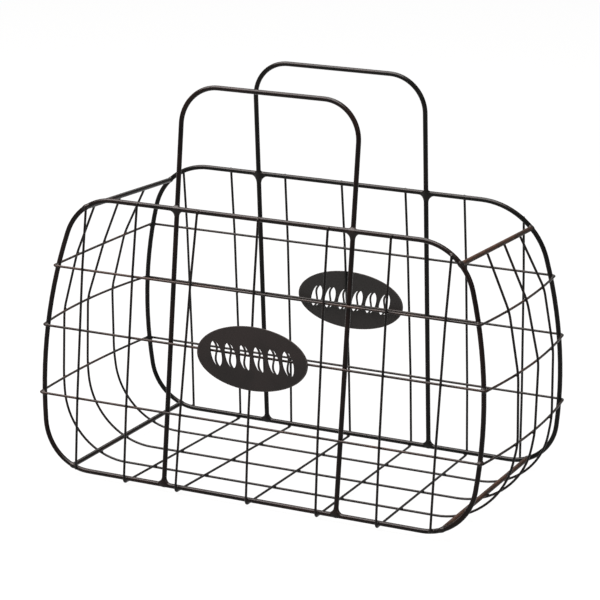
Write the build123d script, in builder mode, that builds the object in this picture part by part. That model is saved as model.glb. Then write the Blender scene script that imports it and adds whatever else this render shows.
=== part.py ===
from build123d import *
from math import acos, asin, atan2, copysign, cos, degrees, hypot, radians, sin, sqrt, tan
import os

# Wire shopping basket: two barrel-shaped rings of heavy wire that lean towards each
# other, a tall handle welded to each, four crossbars between them, and a mesh of thin
# wire. X runs along the basket, Y from front to rear, Z up. Millimetres.

# Wire gauges
frame_gauge = 4.4
mesh_gauge = 2.2
weld_room = 0.15  # left between two wires that a spot weld joins

# Rings: heights are between the centre lines of the bottom rail and the top rail
ring_rise = 250.0
foot_depth = 211.0  # between the two bottom rails
rail_depth = 166.0  # between the two top rails
ring_half_width = 214.1
widest_height = 92.3
side_radius = 430.0
# Rail corners, keyed by front (-1) or rear (1) and left (-1) or right (1)
rail_corner_radii = {(-1, -1): 47.0, (-1, 1): 53.0, (1, -1): 60.0, (1, 1): 65.0}
foot_corner_radius = 47.0

# Handles
handle_x = -1.3  # middle of the handles, a little off the middle of the rings
handle_span = 170.0
handle_rise = 359.0
handle_corner_radius = 34.0
handle_set_in = 2.0  # how far the legs stand inside the top rail

# Crossbars: angle round each rail corner, and the place along the foot corner on the
# left (-1) and the right (1)
crossbar_angles = {(-1, -1): 54.5, (-1, 1): 43.5, (1, -1): 46.0, (1, 1): 42.0}
foot_crossbar_x = {-1: 181.0, 1: 183.0}

# Hoops: height above the bottom rail, and how far each end wall bows outwards
hoops = {
    "upper_hoop": {"rise": 185.6, "bow_left": 1.0, "bow_right": 4.8},
    "middle_hoop": {"rise": 130.2, "bow_left": 8.0, "bow_right": 6.3},
    "lower_hoop": {"rise": 67.2, "bow_left": 4.5, "bow_right": 6.8},
}

# Cross wires: x on the front rail, the front foot, the rear foot and the rear rail
cross_wires = {
    "cross_wire_1": (-123.8, -125.5, -117.3, -118.1),
    "cross_wire_2": (-63.6, -72.8, -62.0, -61.3),
    "cross_wire_3": (-4.2, -2.1, 0.7, -3.2),
    "cross_wire_4": (62.3, 65.8, 64.4, 61.0),
    "cross_wire_5": (121.2, 123.5, 121.4, 119.2),
}

# Corner uprights: x at the top and at the foot
corner_uprights = {
    "front_left_upright": (-175.5, -175.8),
    "front_right_upright": (176.9, 173.9),
    "rear_left_upright": (-169.3, -168.9),
    "rear_right_upright": (176.4, 174.5),
}

# Long wires: y at the crossbar, the upper, middle and lower hoop, and the foot, for the
# left wall and then the right wall
long_wires = {
    "front_long_wire": ((-57.5, -43.5, -43.5, -49.5, -53.5), (-34.0, -43.0, -41.5, -41.0, -50.0)),
    "middle_long_wire": ((-8.0, 7.0, 3.0, -3.5, -4.0), (6.5, -2.5, 5.0, -1.0, 0.0)),
    "rear_long_wire": ((41.0, 45.5, 46.0, 45.5, 49.5), (45.5, 44.5, 48.0, 47.0, 52.0)),
}
long_wire_draw_in = {-1: 7.0, 1: 12.5}  # how far an end wall comes in below the lower hoop
long_wire_end_drop = 2.0  # how far below a crossbar's centre line the long wires end
rail_overhang = 1.5  # how far the cross wires run up past the centre line of a top rail
kink_share = 0.12  # part of a run that the bend at its end takes up

# Oval sign plates with a row of pierced beans
plate_length = 108.0
plate_height = 57.0
plate_thickness = 1.0
plates = {"front_plate": (-1, -1.3, 128.5), "rear_plate": (1, 1.7, 133.0)}
bean_count = 6
bean_pitch = 14.0
bean_length = 23.0
bean_width = 10.0
bean_tilt = 18.0
bean_bridge = 2.0
bean_groove_swing = 2.0

# Weld webs in the corners between the handle legs and the rails
web_below_rail = 5.0
web_above_rail = 2.5
web_on_foot = 4.5
web_thickness = 1.6

os.makedirs("parts", exist_ok=True)

# Worked out from the values above
thick = frame_gauge / 2
thin = mesh_gauge / 2
rail_foot = thick + 2 * (mesh_gauge + weld_room)  # the mesh passes under the rails in two layers
lap = thick + thin + weld_room
mesh_out = lap + mesh_gauge + weld_room
lean = atan2((foot_depth - rail_depth) / 2, ring_rise)
ring_height = ring_rise / cos(lean)
side_centre = (ring_half_width - side_radius, widest_height)


def corner_centre(radius, height):
    """Centre of a corner arc that meets the side arc smoothly."""
    reach = side_radius - radius
    return (side_centre[0] + sqrt(reach**2 - (height - widest_height) ** 2), height)


def side_tangent(corner):
    """Angle at which a corner arc and the side arc meet."""
    return degrees(atan2(corner[1] - side_centre[1], corner[0] - side_centre[0]))


rail_corners = {
    corner: corner_centre(radius, ring_height - radius)
    for corner, radius in rail_corner_radii.items()
}
foot_corner = corner_centre(foot_corner_radius, foot_corner_radius)


def half_width(height):
    """Half width of a ring at a height in its own plane."""
    return side_centre[0] + sqrt(side_radius**2 - (height - widest_height) ** 2)


def face_plane(side, tilt=lean):
    """Plane of the front (-1) or rear (+1) ring, its origin on the bottom rail."""
    normal = (0, side * cos(tilt), sin(tilt))
    return Plane(origin=(0, side * foot_depth / 2, rail_foot), x_dir=(-side, 0, 0), z_dir=normal)


def on_face(side, x, height, out=0.0):
    """Point at x, at a height in the plane of a ring, and standing out from it."""
    return face_plane(side).from_local_coords(Vector(-side * x, height, out))


def wire_along(path, gauge):
    """Sweep round wire along a path, as one solid."""
    with BuildPart() as wire:
        with BuildSketch(Plane(origin=path @ 0, z_dir=path % 0)):
            Circle(gauge / 2)
        sweep(path=path)
    return wire


def finish(piece, name):
    piece.part.label = name
    export_step(piece.part, f"parts/{name}.step")


def end_arc(hand, centre, radius, start, size):
    """Arc on the right (1), or its mirror image on the left (-1)."""
    if hand < 0:
        centre = (-centre[0], centre[1])
        start = 180 - start - size
    CenterArc(centre, radius, start, size)


# Rings
def ring_path(side):
    foot_tangent = side_tangent(foot_corner)
    with BuildLine(face_plane(side)) as outline:
        for hand in (-1, 1):
            way = -side * hand  # a ring's own plane is seen from outside the basket
            rail_corner = rail_corners[side, hand]
            tangent = side_tangent(rail_corner)
            Line((0, ring_height), (way * rail_corner[0], ring_height))
            end_arc(way, rail_corner, rail_corner_radii[side, hand], tangent, 90 - tangent)
            end_arc(way, side_centre, side_radius, foot_tangent, tangent - foot_tangent)
            end_arc(way, foot_corner, foot_corner_radius, -90, 90 + foot_tangent)
            Line((way * foot_corner[0], 0), (0, 0))
    return outline.wires()[0]


faces = {"front": -1, "rear": 1}
rings = {}
for face, side in faces.items():
    ring = wire_along(ring_path(side), frame_gauge)
    finish(ring, f"{face}_ring")
    rings[face] = ring.part

# Handles: the legs stand on the bottom rail and cross inside the top rail
handle_tilt = lean + atan2(handle_set_in, ring_height)
handle_height = handle_rise / cos(handle_tilt)
handles = {}
for face, side in faces.items():
    left_leg = -side * handle_x - handle_span / 2
    right_leg = left_leg + handle_span
    with BuildLine(face_plane(side, handle_tilt)) as arch:
        FilletPolyline(
            (left_leg, thick / 2),
            (left_leg, handle_height),
            (right_leg, handle_height),
            (right_leg, thick / 2),
            radius=handle_corner_radius,
        )
    with BuildPart() as handle:
        add(wire_along(arch.wires()[0], frame_gauge).part)
        add(rings[face], mode=Mode.SUBTRACT)
    finish(handle, f"{face}_handle")
    handles[face] = handle.part


# Crossbars: straight bars butted between the rings
def rail_crossbar_end(side, hand):
    """Point on a ring's rail corner where the crossbar on one hand meets it."""
    turn = radians(crossbar_angles[side, hand])
    radius = rail_corner_radii[side, hand]
    corner_x, corner_rise = rail_corners[side, hand]
    return on_face(side, hand * (corner_x + radius * cos(turn)), corner_rise + radius * sin(turn))


def rail_crossbar_point(hand, y):
    """Point on the centre line of a top crossbar."""
    front = rail_crossbar_end(-1, hand)
    rear = rail_crossbar_end(1, hand)
    return front + (rear - front) * ((y - front.Y) / (rear.Y - front.Y))


def foot_crossbar_height(hand):
    """Height of a bottom crossbar in the planes of the rings."""
    along = foot_crossbar_x[hand] - foot_corner[0]
    return foot_corner[1] - sqrt(foot_corner_radius**2 - along**2)


for word, hand in {"left": -1, "right": 1}.items():
    foot_x = hand * foot_crossbar_x[hand]
    foot_ends = [on_face(side, foot_x, foot_crossbar_height(hand)) for side in (-1, 1)]
    rail_ends = [rail_crossbar_end(side, hand) for side in (-1, 1)]
    for level, ends in {"top": rail_ends, "bottom": foot_ends}.items():
        with BuildLine() as line:
            Line(*ends)
        with BuildPart() as crossbar:
            add(wire_along(line.wires()[0], frame_gauge).part)
            for ring_part in rings.values():
                add(ring_part, mode=Mode.SUBTRACT)
        finish(crossbar, f"{level}_{word}_crossbar")


# Hoops: each wraps round the four ring sides, its end walls bowed outwards
def bow_reach(corner_y, bow):
    """Radius that carries a bowed end wall from one ring to the other."""
    return (corner_y**2 + bow**2) / (2 * bow)


def hoop_corner(rise):
    """Where a ring side passes through a hoop's level."""
    height = rise / cos(lean)
    return half_width(height), on_face(1, 0, height).Y


def end_wall(hand, corner_x, corner_y, bow):
    reach = bow_reach(corner_y, bow)
    swing = degrees(asin(corner_y / reach))
    end_arc(hand, (corner_x + bow - reach, 0), reach + lap, -swing, 2 * swing)
    end_arc(hand, (corner_x, corner_y), lap, swing, 90 - swing)
    end_arc(hand, (corner_x, -corner_y), lap, -90, 90 - swing)


for name, hoop in hoops.items():
    corner_x, corner_y = hoop_corner(hoop["rise"])
    with BuildLine(Plane.XY.offset(rail_foot + hoop["rise"])) as outline:
        end_wall(1, corner_x, corner_y, hoop["bow_right"])
        end_wall(-1, corner_x, corner_y, hoop["bow_left"])
        Line((-corner_x, corner_y + lap), (corner_x, corner_y + lap))
        Line((-corner_x, -corner_y - lap), (corner_x, -corner_y - lap))
    finish(wire_along(outline.wires()[0], mesh_gauge), name)


# Mesh wires
def bend_radii(points):
    """A radius for each bend, large enough to take up a share of the runs beside it."""
    radii = []
    for before, here, after in zip(points, points[1:], points[2:]):
        turn = radians((here - before).get_angle(after - here))
        run = min((here - before).length, (after - here).length)
        radii.append(kink_share * run / tan(turn / 2))
    return radii


def corner_cuts(points):
    """How far each bend passes inside its point."""
    cuts = []
    for radius, before, here, after in zip(bend_radii(points), points, points[1:], points[2:]):
        turn = radians((here - before).get_angle(after - here))
        cuts.append(radius * (1 / cos(turn / 2) - 1))
    return cuts


def bent_wire(points, radii, name):
    with BuildLine() as route:
        FilletPolyline(*points, radius=radii)
    finish(wire_along(route.wires()[0], mesh_gauge), name)


def between(start, end, share):
    return start + (end - start) * share


def face_run(side, x_top, x_foot, top):
    """Points down a face: lapped on the ring at the top, and outside the hoops."""
    points = [on_face(side, x_top, top, lap)]
    for name in ("upper_hoop", "lower_hoop"):
        height = hoops[name]["rise"] / cos(lean)
        x = between(x_foot, x_top, height / ring_height)
        points.append(on_face(side, x, height, mesh_out))
    return points


def foot_bend(side, x):
    """Corner where a cross wire turns under the bottom rail."""
    y = side * (foot_depth / 2 + lap * (1 + sin(lean)) / cos(lean))
    return Vector(x, y, rail_foot - lap)


# Cross wires: down the front, under both bottom rails and up the back
rail_end = ring_height + rail_overhang - thin
for name, (front_rail_x, front_foot_x, rear_foot_x, rear_rail_x) in cross_wires.items():
    front = face_run(-1, front_rail_x, front_foot_x, rail_end)
    rear = face_run(1, rear_rail_x, rear_foot_x, rail_end)
    feet = [foot_bend(-1, front_foot_x), foot_bend(1, rear_foot_x)]
    points = front + feet + rear[::-1]
    radii = bend_radii(points)
    middle = len(radii) // 2
    radii[middle - 1] = lap
    radii[middle] = lap
    bent_wire(points, radii, name)


# Corner uprights: straight wires that cross the rounded corners of the rings
def corner_height(corner, radius, x, up):
    """Height of a ring's centre line where it turns a corner at x."""
    along = max(abs(x) - corner[0], 0)
    return corner[1] + up * sqrt(radius**2 - along**2)


for name, (x_top, x_foot) in corner_uprights.items():
    side = faces[name.split("_")[0]]
    corner = (side, 1 if x_top > 0 else -1)
    top = corner_height(rail_corners[corner], rail_corner_radii[corner], x_top, 1)
    foot = corner_height(foot_corner, foot_corner_radius, x_foot, -1)
    points = face_run(side, x_top, x_foot, top) + [on_face(side, x_foot, foot, lap)]
    bent_wire(points, bend_radii(points), name)


# Long wires: from one top crossbar round the end walls and the base to the other
def wall_point(hand, hoop, y):
    """Point of a long wire where it crosses the outside of a hoop's end wall."""
    corner_x, corner_y = hoop_corner(hoop["rise"])
    bow = hoop["bow_right"] if hand > 0 else hoop["bow_left"]
    reach = bow_reach(corner_y, bow)
    hoop_x = corner_x + bow - reach + sqrt((reach + lap) ** 2 - y**2)
    return Vector(hand * (hoop_x + mesh_gauge + 2 * weld_room), y, rail_foot + hoop["rise"])


def long_wire_half(hand, places):
    """Points from the top crossbar down to the base, and the radius of the last bend."""
    y_top, *wall_places, y_foot = places
    wall = [wall_point(hand, hoop, y) for hoop, y in zip(hoops.values(), wall_places)]
    bar = rail_crossbar_point(hand, y_top)
    run = wall[0] - bar
    slant = hypot(run.X, run.Z)
    swing = atan2(run.Z, abs(run.X)) + acos((lap + weld_room) / slant)
    out = Vector(hand * cos(swing), 0, sin(swing))
    back = Vector(-hand * sin(swing), 0, cos(swing))
    points = [bar + out * (lap + weld_room) - back * long_wire_end_drop] + wall
    last = wall[-1]
    base = rail_foot - mesh_out
    corner = Vector(last.X - hand * long_wire_draw_in[hand], y_foot, base)
    points.append(corner)
    slope = tan((radians(90) - atan2(long_wire_draw_in[hand], last.Z - base)) / 2)
    across = abs(corner.X) - foot_crossbar_x[hand]
    under = foot_crossbar_height(hand) * cos(lean) + rail_foot - lap - weld_room - base
    lead = across * slope + under
    radius = (lead + sqrt(lead**2 - slope**2 * (across**2 + under**2))) / slope**2
    return points, radius


for name, places in long_wires.items():
    left, left_radius = long_wire_half(-1, places[0])
    right, right_radius = long_wire_half(1, places[1])
    points = left + right[::-1]
    for spot, cut in enumerate(corner_cuts(points), start=1):
        if abs(points[spot].Z - rail_foot) > lap + mesh_out:
            points[spot] += Vector(copysign(cut, points[spot].X), 0, 0)
    radii = bend_radii(points)
    middle = len(radii) // 2
    radii[middle - 1] = left_radius
    radii[middle] = right_radius
    bent_wire(points, radii, name)

# Sign plates: flat ovals welded over the mesh, each pierced with a row of beans
with BuildLine() as groove:
    bean_tip = (bean_length + bean_bridge) / 2
    ThreePointArc((0, bean_tip), (bean_groove_swing, bean_tip / 2), (0, 0))
    ThreePointArc((0, 0), (-bean_groove_swing, -bean_tip / 2), (0, -bean_tip))
with BuildSketch() as bean:
    Ellipse(bean_width / 2, bean_length / 2)
    trace(groove.line, line_width=bean_bridge, mode=Mode.SUBTRACT)

for name, (side, x, rise) in plates.items():
    face = face_plane(side).offset(mesh_out + thin + weld_room)
    centre = (-side * x, rise / cos(lean))
    with BuildPart() as plate:
        with BuildSketch(face):
            with Locations(centre):
                Ellipse(plate_length / 2, plate_height / 2)
                with GridLocations(bean_pitch, 0, bean_count, 1):
                    add(bean.sketch, rotation=bean_tilt, mode=Mode.SUBTRACT)
        extrude(amount=plate_thickness)
    finish(plate, name)


# Weld webs: flat fillets in the corners between the handle legs and the rails
def web_outline(x, height, across, up, reach):
    """Concave corner web beside a leg at x and above or below a rail at a height."""
    edge = thick + reach
    inner = thick / 2

    def place(along, rise):
        return (x + across * along, height + up * rise)

    hollow = thick + reach * (1 - sqrt(0.5))
    Polyline(
        place(thick, edge),
        place(inner, edge),
        place(inner, inner),
        place(edge, inner),
        place(edge, thick),
    )
    ThreePointArc(place(edge, thick), place(hollow, hollow), place(thick, edge))


for face, side in faces.items():
    rail_web_plane = face_plane(side).offset(-(handle_set_in + web_thickness) / 2)
    foot_web_plane = face_plane(side).offset(-web_thickness / 2)
    web_places = (
        (rail_web_plane, ring_height, -1, web_below_rail),
        (rail_web_plane, ring_height, 1, web_above_rail),
        (foot_web_plane, 0, 1, web_on_foot),
    )
    with BuildPart() as webs:
        for leg_x in (-side * handle_x - handle_span / 2, -side * handle_x + handle_span / 2):
            for across in (-1, 1):
                for plane, height, up, reach in web_places:
                    with BuildSketch(plane):
                        with BuildLine():
                            web_outline(leg_x, height, across, up, reach)
                        make_face()
                    extrude(amount=web_thickness)
        add(rings[face], mode=Mode.SUBTRACT)
        add(handles[face], mode=Mode.SUBTRACT)
    finish(webs, f"{face}_weld_webs")
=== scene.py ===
import math

import bpy
import numpy as np
from mathutils import Matrix, Vector
from mathutils.kdtree import KDTree


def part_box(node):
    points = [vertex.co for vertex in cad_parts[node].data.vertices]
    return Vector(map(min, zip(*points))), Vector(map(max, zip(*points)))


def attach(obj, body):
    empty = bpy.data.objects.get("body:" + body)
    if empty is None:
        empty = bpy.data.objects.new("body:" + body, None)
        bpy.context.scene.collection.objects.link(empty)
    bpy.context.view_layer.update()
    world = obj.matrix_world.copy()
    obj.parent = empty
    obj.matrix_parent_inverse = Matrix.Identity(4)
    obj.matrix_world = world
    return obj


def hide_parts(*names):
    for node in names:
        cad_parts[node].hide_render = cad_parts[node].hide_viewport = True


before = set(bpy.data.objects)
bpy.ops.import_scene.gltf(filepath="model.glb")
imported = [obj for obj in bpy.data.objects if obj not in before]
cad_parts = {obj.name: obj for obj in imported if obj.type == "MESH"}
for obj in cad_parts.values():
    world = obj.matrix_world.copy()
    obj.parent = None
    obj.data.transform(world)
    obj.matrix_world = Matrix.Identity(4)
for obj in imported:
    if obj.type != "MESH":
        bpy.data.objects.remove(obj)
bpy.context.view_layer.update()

# Looks of a welded wire shopping basket. Metres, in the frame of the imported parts.
scene = bpy.context.scene
mm = 0.001
print("frame loaded:", len(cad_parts), "nodes")


# shader groups that the coats share
def newGroup(name, inputs, outputs):
    group = bpy.data.node_groups.new(name, "ShaderNodeTree")
    for label, kind, value in inputs:
        socket = group.interface.new_socket(label, in_out="INPUT", socket_type="NodeSocket" + kind)
        socket.default_value = value
    for label, kind in outputs:
        group.interface.new_socket(label, in_out="OUTPUT", socket_type="NodeSocket" + kind)
    return group, group.nodes.new("NodeGroupInput"), group.nodes.new("NodeGroupOutput")


def mathNode(tree, operation, first, second, clamp=False):
    node = tree.nodes.new("ShaderNodeMath")
    node.operation = operation
    node.use_clamp = clamp
    for socket, value in zip(node.inputs, (first, second)):
        if isinstance(value, (int, float)):
            socket.default_value = value
        else:
            tree.links.new(value, socket)
    return node.outputs[0]


def noiseNode(tree, vector, scale, detail=2.0, roughness=0.5):
    node = tree.nodes.new("ShaderNodeTexNoise")
    tree.links.new(vector, node.inputs["Vector"])
    if isinstance(scale, (int, float)):
        node.inputs["Scale"].default_value = scale
    else:
        tree.links.new(scale, node.inputs["Scale"])
    node.inputs["Detail"].default_value = detail
    node.inputs["Roughness"].default_value = roughness
    return node.outputs["Fac"]


def spread(tree, value, low, high, toLow=0.0, toHigh=1.0):
    node = tree.nodes.new("ShaderNodeMapRange")
    node.interpolation_type = "SMOOTHSTEP"
    tree.links.new(value, node.inputs["Value"])
    for label, number in (("From Min", low), ("From Max", high), ("To Min", toLow), ("To Max", toHigh)):
        node.inputs[label].default_value = number
    return node.outputs["Result"]


def mixColour(tree, factor, first, second):
    node = tree.nodes.new("ShaderNodeMix")
    node.data_type = "RGBA"
    for socket, value in ((node.inputs[0], factor), (node.inputs[6], first), (node.inputs[7], second)):
        if isinstance(value, (int, float)):
            socket.default_value = value
        elif isinstance(value, tuple):
            socket.default_value = (*value, 1.0)
        else:
            tree.links.new(value, socket)
    return node.outputs[2]


# orange peel and fine grit of a baked powder coat
def makeCoatGrain():
    group, start, end = newGroup(
        "coatGrain",
        [("Peel Scale", "Float", 500.0), ("Grit Scale", "Float", 2600.0), ("Grit Share", "Float", 0.4)],
        [("Height", "Float"), ("Grit", "Float")],
    )
    place = group.nodes.new("ShaderNodeTexCoord").outputs["Object"]
    peel = noiseNode(group, place, start.outputs["Peel Scale"], 1.0)
    grit = noiseNode(group, place, start.outputs["Grit Scale"], 3.0, 0.7)
    fine = mathNode(group, "MULTIPLY", grit, start.outputs["Grit Share"])
    group.links.new(mathNode(group, "ADD", peel, fine), end.inputs["Height"])
    group.links.new(grit, end.inputs["Grit"])
    return group


# broad patches where the black coat runs thin and its brown undertone shows, plus painted light: browner at
# the front and a neutral or lighter rear tone behind, painted in place of warm light at the front and cooler
# light at the rear
def makeUndertoneAndPaintedLight():
    group, start, end = newGroup(
        "undertone",
        [
            ("Black", "Color", (0.0, 0.0, 0.0, 1.0)),
            ("Brown", "Color", (0.05, 0.03, 0.02, 1.0)),
            ("Rear Black", "Color", (0.0, 0.0, 0.0, 1.0)),
            ("Amount", "Float", 0.5),
            ("Patch Scale", "Float", 30.0),
        ],
        [("Color", "Color"), ("Mask", "Float")],
    )
    place = group.nodes.new("ShaderNodeTexCoord").outputs["Object"]
    patch = spread(group, noiseNode(group, place, start.outputs["Patch Scale"], 4.0, 0.6), 0.35, 0.7)
    mask = mathNode(group, "MULTIPLY", patch, start.outputs["Amount"], clamp=True)
    depth = group.nodes.new("ShaderNodeSeparateXYZ")
    group.links.new(place, depth.inputs[0])
    # painted light: the colour shifts from front to rear in place of warmer light at the front and cooler
    # light behind
    rear = spread(group, depth.outputs["Y"], 0.02, 0.08)
    black = mixColour(group, rear, start.outputs["Black"], start.outputs["Rear Black"])
    # the brown patches fade towards the rear: painted light, not a change in the coat
    warm = mathNode(group, "MULTIPLY", mask, spread(group, depth.outputs["Y"], 0.03, 0.1, 1.0, 0.3))
    group.links.new(mixColour(group, warm, black, start.outputs["Brown"]), end.inputs["Color"])
    group.links.new(mask, end.inputs["Mask"])
    return group


# thin dust that settles on what faces up
def makeDust():
    group, start, end = newGroup(
        "dust",
        [("Color", "Color", (0.0, 0.0, 0.0, 1.0)), ("Amount", "Float", 0.1)],
        [("Color", "Color"), ("Mask", "Float")],
    )
    place = group.nodes.new("ShaderNodeTexCoord").outputs["Object"]
    facing = group.nodes.new("ShaderNodeSeparateXYZ")
    group.links.new(group.nodes.new("ShaderNodeNewGeometry").outputs["Normal"], facing.inputs[0])
    up = spread(group, facing.outputs["Z"], 0.25, 0.95)
    speck = spread(group, noiseNode(group, place, 900.0, 5.0, 0.75), 0.42, 0.68)
    settled = mathNode(group, "MULTIPLY", up, speck)
    mask = mathNode(group, "MULTIPLY", settled, start.outputs["Amount"], clamp=True)
    group.links.new(mixColour(group, mask, start.outputs["Color"], (0.32, 0.29, 0.27)), end.inputs["Color"])
    group.links.new(mask, end.inputs["Mask"])
    return group


# the rim of an oval sheet plate, worn in places to a lighter grey
def makeRimWear():
    group, start, end = newGroup(
        "rimWear",
        [
            ("Color", "Color", (0.0, 0.0, 0.0, 1.0)),
            ("Worn", "Color", (0.1, 0.1, 0.1, 1.0)),
            ("Amount", "Float", 0.3),
        ],
        [("Color", "Color")],
    )
    attribute = group.nodes.new("ShaderNodeAttribute")
    attribute.attribute_name = "platePlace"
    reach = group.nodes.new("ShaderNodeVectorMath")
    reach.operation = "LENGTH"
    group.links.new(attribute.outputs["Vector"], reach.inputs[0])
    rim = spread(group, reach.outputs["Value"], 0.970, 0.992)
    place = group.nodes.new("ShaderNodeTexCoord").outputs["Object"]
    chips = spread(group, noiseNode(group, place, 420.0, 3.0, 0.6), 0.30, 0.62)
    worn = mathNode(group, "MULTIPLY", mathNode(group, "MULTIPLY", rim, chips), start.outputs["Amount"])
    colour = mixColour(group, worn, start.outputs["Color"], start.outputs["Worn"])
    group.links.new(colour, end.inputs["Color"])
    return group


coatGrain = makeCoatGrain()
undertone = makeUndertoneAndPaintedLight()
dust = makeDust()
rimWear = makeRimWear()

# each coat's rear tone is painted light: a neutral or lighter colour used behind the basket in place of the
# cooler light falling there
coats = {
    "frameCoat": {
        "black": (0.0014, 0.0007, 0.0006), "brown": (0.0120, 0.0054, 0.0038),
        "rearBlack": (0.0009, 0.0012, 0.0010),
        "brownAmount": 0.4, "patchScale": 24.0, "dust": 0.04, "roughness": (0.22, 0.33), "specular": 0.12,
        "peelScale": 620.0, "gritScale": 2600.0, "gritShare": 0.35, "bump": 0.10, "bumpDepth": 0.00012,
    },
    # a lighter, browner copy of the frame coat for the right-hand crossbars: painted light where light falls
    # on them
    "barCoat": {
        "black": (0.0150, 0.0078, 0.0047), "brown": (0.0380, 0.0175, 0.0098),
        "rearBlack": (0.0135, 0.0072, 0.0046),
        "brownAmount": 0.9, "patchScale": 40.0, "dust": 0.04, "roughness": (0.40, 0.54), "specular": 0.07,
        "peelScale": 620.0, "gritScale": 2600.0, "gritShare": 0.5, "bump": 0.12, "bumpDepth": 0.00012,
    },
    "hoopCoat": {
        "black": (0.0034, 0.0019, 0.0014), "brown": (0.0240, 0.0115, 0.0072),
        "rearBlack": (0.0022, 0.0022, 0.0018),
        "brownAmount": 0.75, "patchScale": 26.0, "dust": 0.05, "roughness": (0.28, 0.42), "specular": 0.14,
        "peelScale": 900.0, "gritScale": 3200.0, "gritShare": 0.3, "bump": 0.08, "bumpDepth": 0.00008,
    },
    "meshCoat": {
        "black": (0.0013, 0.0008, 0.0007), "brown": (0.0080, 0.0044, 0.0033),
        "rearBlack": (0.0009, 0.0012, 0.0010),
        "brownAmount": 0.4, "patchScale": 34.0, "dust": 0.05, "roughness": (0.27, 0.40), "specular": 0.15,
        "peelScale": 900.0, "gritScale": 3200.0, "gritShare": 0.3, "bump": 0.08, "bumpDepth": 0.00008,
    },
    "weldCoat": {
        "black": (0.0020, 0.0014, 0.0012), "brown": (0.0150, 0.0080, 0.0060),
        "rearBlack": (0.0016, 0.0018, 0.0016),
        "brownAmount": 0.35, "patchScale": 60.0, "dust": 0.10, "roughness": (0.24, 0.42), "specular": 0.16,
        "peelScale": 800.0, "gritScale": 2600.0, "gritShare": 0.5, "bump": 0.22, "bumpDepth": 0.00016,
    },
    "plateCoat": {
        "black": (0.0070, 0.0060, 0.0057), "brown": (0.0125, 0.0096, 0.0090),
        "rearBlack": (0.0135, 0.0128, 0.0122),
        "brownAmount": 0.6, "patchScale": 26.0, "dust": 0.05, "roughness": (0.50, 0.62), "specular": 0.14,
        "peelScale": 1100.0, "gritScale": 3000.0, "gritShare": 0.9, "bump": 0.20, "bumpDepth": 0.00012,
        "wornRim": 0.35, "rimColour": (0.075, 0.066, 0.062),
    },
}


def makeCoat(name):
    values = coats[name]
    material = bpy.data.materials.new(name)
    material.use_nodes = True
    tree = material.node_tree
    shader = tree.nodes["Principled BSDF"]
    shader.inputs["Specular IOR Level"].default_value = values["specular"]

    grain = tree.nodes.new("ShaderNodeGroup")
    grain.node_tree = coatGrain
    grain.inputs["Peel Scale"].default_value = values["peelScale"]
    grain.inputs["Grit Scale"].default_value = values["gritScale"]
    grain.inputs["Grit Share"].default_value = values["gritShare"]

    tone = tree.nodes.new("ShaderNodeGroup")
    tone.node_tree = undertone
    tone.inputs["Black"].default_value = (*values["black"], 1.0)
    tone.inputs["Brown"].default_value = (*values["brown"], 1.0)
    # painted rear tone: painted light used behind the basket
    tone.inputs["Rear Black"].default_value = (*values["rearBlack"], 1.0)
    tone.inputs["Amount"].default_value = values["brownAmount"]
    tone.inputs["Patch Scale"].default_value = values["patchScale"]

    settled = tree.nodes.new("ShaderNodeGroup")
    settled.node_tree = dust
    settled.inputs["Amount"].default_value = values["dust"]
    tree.links.new(tone.outputs["Color"], settled.inputs["Color"])
    colour = settled.outputs["Color"]
    if "wornRim" in values:
        rim = tree.nodes.new("ShaderNodeGroup")
        rim.node_tree = rimWear
        rim.inputs["Worn"].default_value = (*values["rimColour"], 1.0)
        rim.inputs["Amount"].default_value = values["wornRim"]
        tree.links.new(colour, rim.inputs["Color"])
        colour = rim.outputs["Color"]
    tree.links.new(colour, shader.inputs["Base Color"])

    low, high = values["roughness"]
    sheen = spread(tree, grain.outputs["Grit"], 0.3, 0.7, low, high)
    dulled = mathNode(tree, "ADD", sheen, settled.outputs["Mask"], clamp=True)
    tree.links.new(dulled, shader.inputs["Roughness"])

    bump = tree.nodes.new("ShaderNodeBump")
    bump.inputs["Strength"].default_value = values["bump"]
    bump.inputs["Distance"].default_value = values["bumpDepth"]
    tree.links.new(grain.outputs["Height"], bump.inputs["Height"])
    tree.links.new(bump.outputs["Normal"], shader.inputs["Normal"])
    return material


materials = {name: makeCoat(name) for name in coats}
print("coats made:", len(materials))

# the wires of the frame and the mesh keep their shape and get their coats
gauges = {"frame": 4.4 * mm, "mesh": 2.2 * mm}
frameNames = ["front_ring", "rear_ring", "front_handle", "rear_handle"]
barNames = ["top_left_crossbar", "top_right_crossbar", "bottom_left_crossbar", "bottom_right_crossbar"]
plateNames = ["front_plate", "rear_plate"]
webNames = ["front_weld_webs", "rear_weld_webs"]
meshNames = sorted(set(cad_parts) - set(frameNames + barNames + plateNames + webNames))


def coatNode(name, material):
    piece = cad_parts[name]
    for slot in piece.material_slots:
        slot.material = materials[material]


for name in frameNames:
    coatNode(name, "frameCoat")
for name in barNames:
    # the right-hand crossbars get the lighter bar coat as painted light; the left ones keep the frame coat
    coatNode(name, "frameCoat" if "left" in name else "barCoat")
for name in meshNames:
    coatNode(name, "hoopCoat" if name.endswith("_hoop") else "meshCoat")


# how the line along the core of a round wire is found: stepping back from the skin along the
# normal lands on it, and the places found that way gather into stations
finding = {"sameStation": 0.15 * mm, "cornersAtLeast": 100}


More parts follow.
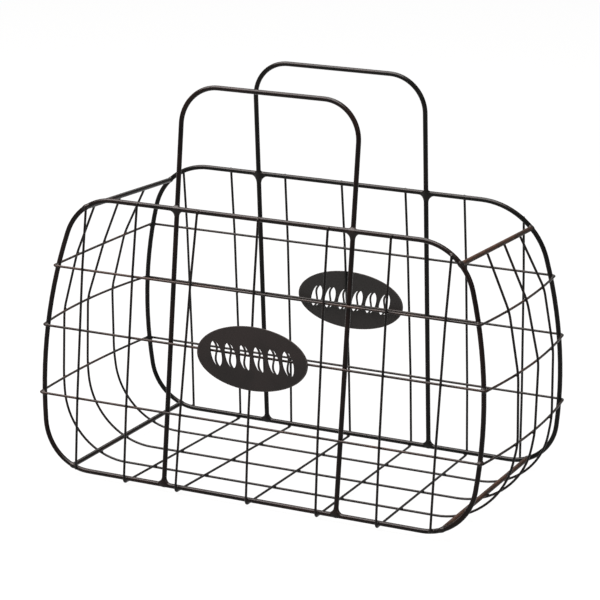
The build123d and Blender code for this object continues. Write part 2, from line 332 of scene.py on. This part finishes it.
def coreLine(name, radius):
    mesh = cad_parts[name].data
    mesh.calc_loop_triangles()
    corner = np.empty(len(mesh.loops), int)
    mesh.loops.foreach_get("vertex_index", corner)
    skin = np.empty(3 * len(mesh.vertices))
    mesh.vertices.foreach_get("co", skin)
    normals = np.empty(3 * len(mesh.loops))
    mesh.corner_normals.foreach_get("vector", normals)
    core = skin.reshape(-1, 3)[corner] - radius * normals.reshape(-1, 3)

    station = np.full(len(core), -1)
    centres = []
    for index in range(len(core)):
        if station[index] < 0:
            near = (station < 0) & (np.abs(core - core[index]).max(1) < finding["sameStation"])
            station[near] = len(centres)
            centres.append(core[near].mean(0))
    whole = np.bincount(station) > finding["cornersAtLeast"]
    links = {index: set() for index in np.flatnonzero(whole)}
    for polygon in mesh.polygons:
        ends = {int(station[loop]) for loop in polygon.loop_indices}
        for end in ends & links.keys():
            links[end] |= (ends & links.keys()) - {end}
    loose = [index for index, joined in links.items() if len(joined) < 2]
    order = [loose[0] if loose else next(iter(links))]
    while len(order) < len(links):
        ahead = [index for index in links[order[-1]] if index not in order]
        if not ahead:
            break
        order.append(min(ahead, key=lambda index: len(links[index] - set(order))))
    if not loose:
        order.append(order[0])
    return np.array([centres[index] for index in order])


wires = {}
for name in frameNames[:2]:
    wires[name] = (coreLine(name, gauges["frame"] / 2), gauges["frame"] / 2)
for name in meshNames:
    wires[name] = (coreLine(name, gauges["mesh"] / 2), gauges["mesh"] / 2)


def nearestOnLine(line, point):
    start, run = line[:-1], np.diff(line, axis=0)
    share = ((point - start) * run).sum(1) / (run * run).sum(1)
    feet = start + np.clip(share, 0, 1)[:, None] * run
    return feet[np.linalg.norm(feet - point, axis=1).argmin()]


# a crossbar runs from one ring's core to the other's
for name in barNames:
    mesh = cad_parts[name].data
    skin = np.empty(3 * len(mesh.vertices))
    mesh.vertices.foreach_get("co", skin)
    skin = skin.reshape(-1, 3)
    front = nearestOnLine(wires["front_ring"][0], skin[skin[:, 1] < 0].mean(0))
    rear = nearestOnLine(wires["rear_ring"][0], skin[skin[:, 1] > 0].mean(0))
    wires[name] = (np.array([front, rear]), gauges["frame"] / 2)

# a handle leg runs from the bottom rail to the arch; side is -1 at the front and 1 at the rear
sides = {"front": -1, "rear": 1}
for face, side in sides.items():
    radius = gauges["frame"] / 2
    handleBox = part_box(face + "_handle")
    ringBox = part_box(face + "_ring")
    footZ = ringBox[0][2] + radius
    footY = ringBox[0][1] + radius if side < 0 else ringBox[1][1] - radius
    topY = handleBox[1][1] - radius if side < 0 else handleBox[0][1] + radius
    for hand, legX in (("left", handleBox[0][0] + radius), ("right", handleBox[1][0] - radius)):
        leg = [(legX, footY, footZ), (legX, topY, handleBox[1][2] - radius)]
        wires[face + "_" + hand + "_leg"] = (np.array(leg), radius)
print("core lines found:", len(wires))

# weld beads: wherever two wires touch, a smooth blend of their round shapes bulges out of the joint
beads = {
    "contactRoom": 0.5 * mm, "sampleStep": 1.0 * mm, "clusterGap": 8.0 * mm, "sink": 0.03 * mm,
    "meshBlend": 1.55 * mm, "meshReach": 3.7 * mm,
    "lapBlend": 2.3 * mm, "lapReach": 5.4 * mm,
    "barBlend": 1.7 * mm, "barReach": 5.2 * mm,
    "legBlend": 7.5 * mm, "legReach": 11.0 * mm, "railBlendAbove": 2.6 * mm, "footBlend": 6.0 * mm,
    "footBlendBelow": 0.6 * mm, "legFade": 3.0 * mm, "legFlatness": 0.5,
    "fadeFrom": 0.72, "fadePull": 1.1, "clipShare": 2.5, "fineBall": 4, "coarseBall": 3,
    "upperHalf": 100 * mm, "wallFrom": 190 * mm, "baseTop": 20 * mm,
    "variation": 0.18, "steps": 26, "seed": 7,
}


def sampleLine(line, step):
    points = []
    for start, end in zip(line[:-1], line[1:]):
        count = max(1, int(np.linalg.norm(end - start) / step))
        points.extend(start + (end - start) * index / count for index in range(count))
    points.append(line[-1])
    return np.array(points)


def findContacts():
    names = list(wires)
    samples = [sampleLine(wires[name][0], beads["sampleStep"]) for name in names]
    owners = np.concatenate([np.full(len(points), index) for index, points in enumerate(samples)])
    everything = np.concatenate(samples)
    tree = KDTree(len(everything))
    for index, point in enumerate(everything):
        tree.insert(point, index)
    tree.balance()
    touching = {}
    widest = gauges["frame"] + beads["contactRoom"]
    for index, point in enumerate(everything):
        for _, other, gap in tree.find_range(point, widest):
            if owners[other] > owners[index]:
                first, second = names[owners[index]], names[owners[other]]
                if gap < wires[first][1] + wires[second][1] + beads["contactRoom"]:
                    touching.setdefault((first, second), []).append((index, other, gap))
    contacts = []
    for (first, second), hits in touching.items():
        groups = []
        for hit in sorted(hits):
            place = everything[hit[0]]
            for group in groups:
                if np.linalg.norm(everything[group[-1][0]] - place) < beads["clusterGap"]:
                    group.append(hit)
                    break
            else:
                groups.append([hit])
        for group in groups:
            index, other, _ = min(group, key=lambda hit: hit[2])
            here, there = everything[index], everything[other]
            share = wires[first][1] / (wires[first][1] + wires[second][1])
            contacts.append((first, second, here + (there - here) * share))
    return contacts


def lineDistance(points, line):
    best = np.full(len(points), np.inf)
    for start, end in zip(line[:-1], line[1:]):
        run = end - start
        share = np.clip((points - start) @ run / (run @ run), 0, 1)
        best = np.minimum(best, np.linalg.norm(points - start - share[:, None] * run, axis=1))
    return best


def ballDirections(rounds):
    phi = (1 + math.sqrt(5)) / 2
    points = [(-1, phi, 0), (1, phi, 0), (-1, -phi, 0), (1, -phi, 0), (0, -1, phi), (0, 1, phi)]
    points += [(0, -1, -phi), (0, 1, -phi), (phi, 0, -1), (phi, 0, 1), (-phi, 0, -1), (-phi, 0, 1)]
    corners = [Vector(point).normalized() for point in points]
    faces = [(0, 11, 5), (0, 5, 1), (0, 1, 7), (0, 7, 10), (0, 10, 11), (1, 5, 9), (5, 11, 4)]
    faces += [(11, 10, 2), (10, 7, 6), (7, 1, 8), (3, 9, 4), (3, 4, 2), (3, 2, 6), (3, 6, 8)]
    faces += [(3, 8, 9), (4, 9, 5), (2, 4, 11), (6, 2, 10), (8, 6, 7), (9, 8, 1)]
    for _ in range(rounds):
        halves = {}
        finer = []

        def half(first, second):
            key = (min(first, second), max(first, second))
            if key not in halves:
                halves[key] = len(corners)
                corners.append((corners[first] + corners[second]).normalized())
            return halves[key]

        for one, two, three in faces:
            a, b, c = half(one, two), half(two, three), half(three, one)
            finer += [(one, a, c), (two, b, a), (three, c, b), (a, b, c)]
        faces = finer
    return np.array(corners), faces


balls = {rounds: ballDirections(rounds) for rounds in (beads["coarseBall"], beads["fineBall"])}


def beadKind(first, second):
    if "leg" in first + second:
        return "leg"
    thickness = wires[first][1] + wires[second][1]
    if thickness > gauges["frame"] * 0.9:
        return "bar"
    return "mesh" if thickness < gauges["mesh"] * 1.1 else "lap"


def makeBead(first, second, centre, variation):
    kind = beadKind(first, second)
    reach = beads[kind + "Reach"] * variation
    blend = beads[kind + "Blend"] * variation
    directions, faces = balls[beads["coarseBall" if kind in ("mesh", "lap") else "fineBall"]]
    distances = np.linspace(0, reach, beads["steps"])
    points = (centre + directions[:, None, :] * distances[:, None]).reshape(-1, 3)
    fields = []
    for name in (first, second):
        line, radius = wires[name]
        line = clipLine(line, centre, reach * beads["clipShare"])
        fields.append(lineDistance(points, line) - radius)
    soft = np.full(len(points), blend)
    if kind == "leg":
        atRail = centre[2] > beads["upperHalf"]
        below = blend if atRail else beads["footBlendBelow"]
        above = beads["railBlendAbove"] if atRail else beads["footBlend"]
        away = points - centre
        soft = below + (above - below) * np.clip(away[:, 2] / beads["legFade"] * 0.5 + 0.5, 0, 1)
        soft *= 1 - beads["legFlatness"] * np.abs(away[:, 1]) / (np.abs(away).sum(1) + mm)
    share = np.clip(0.5 + 0.5 * (fields[1] - fields[0]) / soft, 0, 1)
    field = fields[1] + (fields[0] - fields[1]) * share - soft * share * (1 - share)
    nearness = np.tile(distances, len(directions)) / reach
    far = np.clip((nearness - beads["fadeFrom"]) / (1 - beads["fadeFrom"]), 0, 1)
    field += beads["sink"] + max(wires[first][1], wires[second][1]) * beads["fadePull"] * far * far
    field = field.reshape(len(directions), -1)
    outside = field > 0
    outside[:, 0] = False
    outside[:, -1] = True
    stop = outside.argmax(1)
    rows = np.arange(len(directions))
    inner, outer = field[rows, stop - 1], field[rows, stop]
    share = np.clip(-inner / np.maximum(outer - inner, 1e-9), 0, 1)
    length = distances[stop - 1] + (distances[stop] - distances[stop - 1]) * share
    return centre + directions * length[:, None], faces


def clipLine(line, centre, reach):
    kept = [index for index, (start, end) in enumerate(zip(line[:-1], line[1:]))
            if lineDistance(centre[None], np.array([start, end]))[0] < reach]
    return line[min(kept):max(kept) + 2] if kept else line


def weldPlace(first, second, centre):
    names = first + " " + second
    if "leg" in names:
        return "front_handle_welds" if centre[1] < 0 else "rear_handle_welds"
    if "crossbar" in names and "ring" in names:
        return "crossbar_welds"
    if centre[2] < beads["baseTop"]:
        return "base_welds"
    if abs(centre[0]) > beads["wallFrom"] or "long_wire" in names:
        return "left_wall_welds" if centre[0] < 0 else "right_wall_welds"
    return "front_mesh_welds" if centre[1] < 0 else "rear_mesh_welds"


def makeWelds():
    chance = np.random.default_rng(beads["seed"])
    places = {}
    for first, second, centre in findContacts():
        variation = 1 + beads["variation"] * chance.uniform(-1, 1)
        points, faces = makeBead(first, second, centre, variation)
        allPoints, allFaces = places.setdefault(weldPlace(first, second, centre), ([], []))
        start = sum(len(block) for block in allPoints)
        allPoints.append(points)
        allFaces.extend(tuple(start + corner for corner in face) for face in faces)
    for name, (allPoints, allFaces) in places.items():
        mesh = bpy.data.meshes.new(name)
        mesh.from_pydata(np.concatenate(allPoints).tolist(), [], allFaces)
        mesh.shade_smooth()
        mesh.materials.append(materials["weldCoat"])
        piece = bpy.data.objects.new(name, mesh)
        scene.collection.objects.link(piece)
        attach(piece, "root")
        if "handle" in name:
            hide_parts(name.replace("_handle_welds", "_weld_webs"))
        print(name, len(allPoints), "beads")


makeWelds()

# sign plates: ovals with a softly rounded rim, pierced with a row of beans, each a pair of halves
plates = {
    "thickness": 1.0 * mm, "rim": 0.28 * mm, "rimSteps": 3, "across": 108 * mm, "tall": 57 * mm,
    "beanCount": 6, "beanPitch": 14 * mm, "beanLength": 23 * mm, "beanWidth": 10 * mm,
    "beanTilt": 18, "bridge": 2 * mm, "grooveSwing": 2 * mm, "ovalPoints": 120, "beanPoints": 18,
    "narrowest": 0.25 * mm, "sharpAngle": 40,
}


def ovalOutline():
    halfAcross, halfTall = plates["across"] / 2, plates["tall"] / 2
    turns = [2 * math.pi * index / plates["ovalPoints"] for index in range(plates["ovalPoints"])]
    return [(halfAcross * math.cos(turn), halfTall * math.sin(turn)) for turn in turns]


# one half of a bean: down the side of the curved groove, and back along the bean's own outline
def beanOutline(beanX, hand):
    halfLength, halfWidth = plates["beanLength"] / 2, plates["beanWidth"] / 2
    heights = np.cos(np.linspace(0, math.pi, plates["beanPoints"])) * halfLength
    wave = 2 * math.pi * heights / (plates["beanLength"] + plates["bridge"])
    groove = plates["grooveSwing"] * np.sin(wave)
    inner = groove + hand * plates["bridge"] / 2
    outer = hand * halfWidth * np.sqrt(np.clip(1 - (heights / halfLength) ** 2, 0, 1))
    wide = (outer - inner) * hand > plates["narrowest"]
    path = list(zip(inner[wide], heights[wide])) + list(zip(outer[wide], heights[wide]))[::-1]
    turn = math.radians(plates["beanTilt"])
    return [
        (beanX + x * math.cos(turn) - y * math.sin(turn), x * math.sin(turn) + y * math.cos(turn))
        for x, y in roundOff(path)
    ]


# cuts every corner of a path twice, which leaves the tips of a bean soft
def roundOff(path):
    for _ in range(2):
        softer = []
        for (x, y), (nextX, nextY) in zip(path, path[1:] + path[:1]):
            softer.append((0.8 * x + 0.2 * nextX, 0.8 * y + 0.2 * nextY))
            softer.append((0.2 * x + 0.8 * nextX, 0.2 * y + 0.8 * nextY))
        path = softer
    return path


def makePlate(name, side):
    outlines = [ovalOutline()]
    for index in range(plates["beanCount"]):
        beanX = (index - (plates["beanCount"] - 1) / 2) * plates["beanPitch"]
        outlines += [beanOutline(beanX, -1), beanOutline(beanX, 1)]
    curve = bpy.data.curves.new(name, "CURVE")
    curve.dimensions = "2D"
    curve.fill_mode = "BOTH"
    curve.extrude = plates["thickness"] / 2 - plates["rim"]
    curve.bevel_depth = plates["rim"]
    curve.bevel_resolution = plates["rimSteps"]
    curve.offset = -plates["rim"]
    for outline in outlines:
        spline = curve.splines.new("POLY")
        spline.points.add(len(outline) - 1)
        for point, (x, y) in zip(spline.points, outline):
            point.co = (x, y, 0, 1)
        spline.use_cyclic_u = True
    draft = bpy.data.objects.new(name + "Draft", curve)
    scene.collection.objects.link(draft)
    bpy.context.view_layer.update()
    mesh = bpy.data.meshes.new_from_object(draft.evaluated_get(bpy.context.evaluated_depsgraph_get()))
    bpy.data.objects.remove(draft)

    place = mesh.attributes.new("platePlace", "FLOAT_VECTOR", "POINT")
    flat = np.empty(3 * len(mesh.vertices))
    mesh.vertices.foreach_get("co", flat)
    flat = flat.reshape(-1, 3) * (2 / plates["across"], 2 / plates["tall"], 0)
    place.data.foreach_set("vector", flat.ravel())

    low, high = (Vector(corner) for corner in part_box(name))
    ringLow, ringHigh = (Vector(corner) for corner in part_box(name.split("_")[0] + "_ring"))
    ringSize = ringHigh - ringLow - Vector((gauges["frame"],) * 3)
    lean = math.atan2(ringSize.y, ringSize.z)
    across = Vector((-side, 0, 0))
    out = Vector((0, side * math.cos(lean), math.sin(lean)))
    up = out.cross(across)
    turn = Matrix((across, up, out)).transposed().to_4x4()
    mesh.transform(Matrix.Translation((low + high) / 2) @ turn)
    mesh.materials.clear()
    mesh.materials.append(materials["plateCoat"])
    mesh.name = name
    return mesh


for face, side in sides.items():
    name = face + "_plate"
    mesh = makePlate(name, side)
    mesh.set_sharp_from_angle(angle=math.radians(plates["sharpAngle"]))
    piece = bpy.data.objects.new(face + "_sign_plate", mesh)
    scene.collection.objects.link(piece)
    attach(piece, "root")
    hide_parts(name)
print("sign plates made")

# camera
view = {
    "azimuth": 25.135, "elevation": 15.393, "roll": -0.87,
    "distance": 2.2117, "target": (-0.0034, 0.0, 0.1645), "lens": 146.4,
}


def makeCamera():
    around = math.radians(view["azimuth"])
    above = math.radians(view["elevation"])
    roll = math.radians(view["roll"])
    back = Vector((math.sin(around) * math.cos(above), -math.cos(around) * math.cos(above), math.sin(above)))
    right = Vector((math.cos(around), math.sin(around), 0))
    up = back.cross(right)
    across = right * math.cos(roll) - up * math.sin(roll)
    upright = back.cross(across)
    turn = Matrix((across, upright, back)).transposed().to_4x4()
    data = bpy.data.cameras.new("camera")
    data.lens = view["lens"]
    data.sensor_width = 36.0
    data.clip_start, data.clip_end = 0.05, 120.0
    camera = bpy.data.objects.new("camera", data)
    camera.matrix_world = Matrix.Translation(Vector(view["target"]) + back * view["distance"]) @ turn
    scene.collection.objects.link(camera)
    scene.camera = camera


makeCamera()

# floor and light
studio = {
    "floorSize": 80.0, "floorColour": (0.03, 0.03, 0.03), "floorGlow": 0.95, "world": 0.30,
    "key": {"place": (-0.7, -0.6, 2.2), "size": 2.6, "power": 300.0, "colour": (1.0, 0.93, 0.91)},
    "fill": {"place": (2.4, -1.4, 1.6), "size": 1.0, "power": 12.0, "colour": (1.0, 0.93, 0.88)},
    "back": {"place": (-0.6, 2.4, 2.0), "size": 1.0, "power": 16.0, "colour": (0.95, 1.0, 0.98)},
}


def makeFloor():
    mesh = bpy.data.meshes.new("floor")
    half = studio["floorSize"] / 2
    corners = [(-half, -half, 0), (half, -half, 0), (half, half, 0), (-half, half, 0)]
    mesh.from_pydata(corners, [], [(0, 1, 2, 3)])
    floor = bpy.data.objects.new("floor", mesh)
    scene.collection.objects.link(floor)
    paper = bpy.data.materials.new("paleFloor")
    paper.use_nodes = True
    shader = paper.node_tree.nodes["Principled BSDF"]
    shader.inputs["Base Color"].default_value = (*studio["floorColour"], 1.0)
    shader.inputs["Roughness"].default_value = 0.9
    shader.inputs["Specular IOR Level"].default_value = 0.0
    shader.inputs["Emission Color"].default_value = (1.0, 1.0, 1.0, 1.0)
    shader.inputs["Emission Strength"].default_value = studio["floorGlow"]  # lit from below: no hard shadows
    mesh.materials.append(paper)


def makeLight(name):
    values = studio[name]
    data = bpy.data.lights.new(name, "AREA")
    data.shape = "DISK"
    data.size = values["size"]
    data.energy = values["power"]
    data.color = values["colour"]
    light = bpy.data.objects.new(name, data)
    light.location = values["place"]
    aim = Vector((0, 0, 0.15)) - light.location
    light.rotation_euler = aim.to_track_quat("-Z", "Y").to_euler()
    scene.collection.objects.link(light)


makeFloor()
for name in ("key", "fill", "back"):
    makeLight(name)
world = bpy.data.worlds.new("studio")
world.use_nodes = True
world.node_tree.nodes["Background"].inputs["Color"].default_value = (1.0, 1.0, 1.0, 1.0)
world.node_tree.nodes["Background"].inputs["Strength"].default_value = studio["world"]
scene.world = world
scene.view_settings.view_transform = "Standard"
print("camera and lights set")
